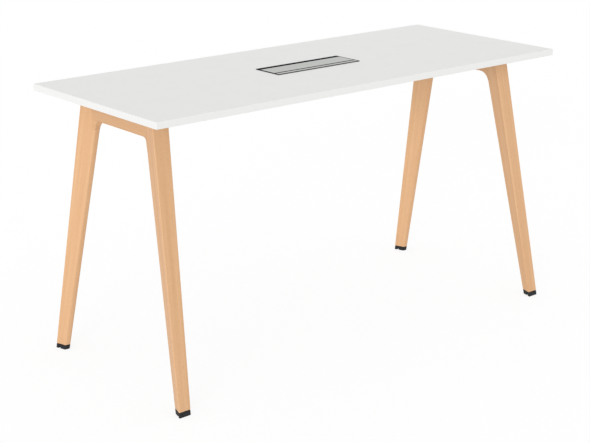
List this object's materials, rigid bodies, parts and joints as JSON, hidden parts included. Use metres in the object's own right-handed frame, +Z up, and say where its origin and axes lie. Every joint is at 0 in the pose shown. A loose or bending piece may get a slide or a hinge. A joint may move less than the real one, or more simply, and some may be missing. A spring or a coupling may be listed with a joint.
{
  "type": "standing meeting table",
  "caption": "Standing-height rectangular meeting table with a white laminate top on splayed, tapered beech end frames, and a flip-lid cable box set in the middle of the top.",
  "frame": {"origin": "on the floor under the middle of the table top", "axes": "+X along the length of the top, +Y from front to back, +Z up"},
  "size_m": [2, 0.844, 1.0775],
  "materials": {
    "white_laminate": "white melamine laminate on particle board, fine satin",
    "white_edge": "white plastic edge band, satin",
    "beech": "solid beech, clear matt lacquer",
    "dowel_beech": "plain turned beech dowel",
    "black_nylon": "moulded nylon, fine matt texture",
    "black_plastic": "moulded plastic, matt",
    "black_rubber": "moulded rubber",
    "aluminium": "anodised, fine brushed along the length",
    "grey_paint": "light grey powder coat on steel",
    "zinc_steel": "zinc plated steel"
  },
  "bodies": {
    "table": {"beam_back": "grey_paint", "beam_front": "grey_paint", "cable_box_rim": "black_plastic", "cable_box_strip": "aluminium", "cable_grommet_left": "black_rubber", "cable_grommet_right": "black_rubber", "cable_tray": "grey_paint", "dowel_back_left_lower": "dowel_beech", "dowel_back_left_upper": "dowel_beech", "dowel_back_right_lower": "dowel_beech", "dowel_back_right_upper": "dowel_beech", "dowel_front_left_lower": "dowel_beech", "dowel_front_left_upper": "dowel_beech", "dowel_front_right_lower": "dowel_beech", "dowel_front_right_upper": "dowel_beech", "edge_band_back": "white_edge", "edge_band_front": "white_edge", "edge_band_left": "white_edge", "edge_band_right": "white_edge", "foot_back_left": "black_nylon", "foot_back_right": "black_nylon", "foot_front_left": "black_nylon", "foot_front_right": "black_nylon", "foot_screw_back_left": "zinc_steel", "foot_screw_back_right": "zinc_steel", "foot_screw_front_left": "zinc_steel", "foot_screw_front_right": "zinc_steel", "hinge_pin_left": "zinc_steel", "hinge_pin_right": "zinc_steel", "leg_back_left": "beech", "leg_back_right": "beech", "leg_front_left": "beech", "leg_front_right": "beech", "rail_left": "beech", "rail_right": "beech", "tongue_screw_back_left_inner": "zinc_steel", "tongue_screw_back_left_outer": "zinc_steel", "tongue_screw_back_right_inner": "zinc_steel", "tongue_screw_back_right_outer": "zinc_steel", "tongue_screw_front_left_inner": "zinc_steel", "tongue_screw_front_left_outer": "zinc_steel", "tongue_screw_front_right_inner": "zinc_steel", "tongue_screw_front_right_outer": "zinc_steel", "top_board": "white_laminate", "top_screw_back_1": "zinc_steel", "top_screw_back_2": "zinc_steel", "top_screw_back_3": "zinc_steel", "top_screw_back_4": "zinc_steel", "top_screw_front_1": "zinc_steel", "top_screw_front_2": "zinc_steel", "top_screw_front_3": "zinc_steel", "top_screw_front_4": "zinc_steel", "tray_screw_back_left": "zinc_steel", "tray_screw_back_right": "zinc_steel", "tray_screw_front_left": "zinc_steel", "tray_screw_front_right": "zinc_steel"},
    "lid": {"cable_box_lid": "aluminium", "cable_box_hinge": "black_plastic"}
  },
  "joints": [
    {"name": "lid_hinge", "type": "hinge", "parent": "table", "child": "lid", "pos_m": [0, -0.0407, 1.075], "axis": [1, 0, 0], "range_deg": [0, 90]}
  ]
}
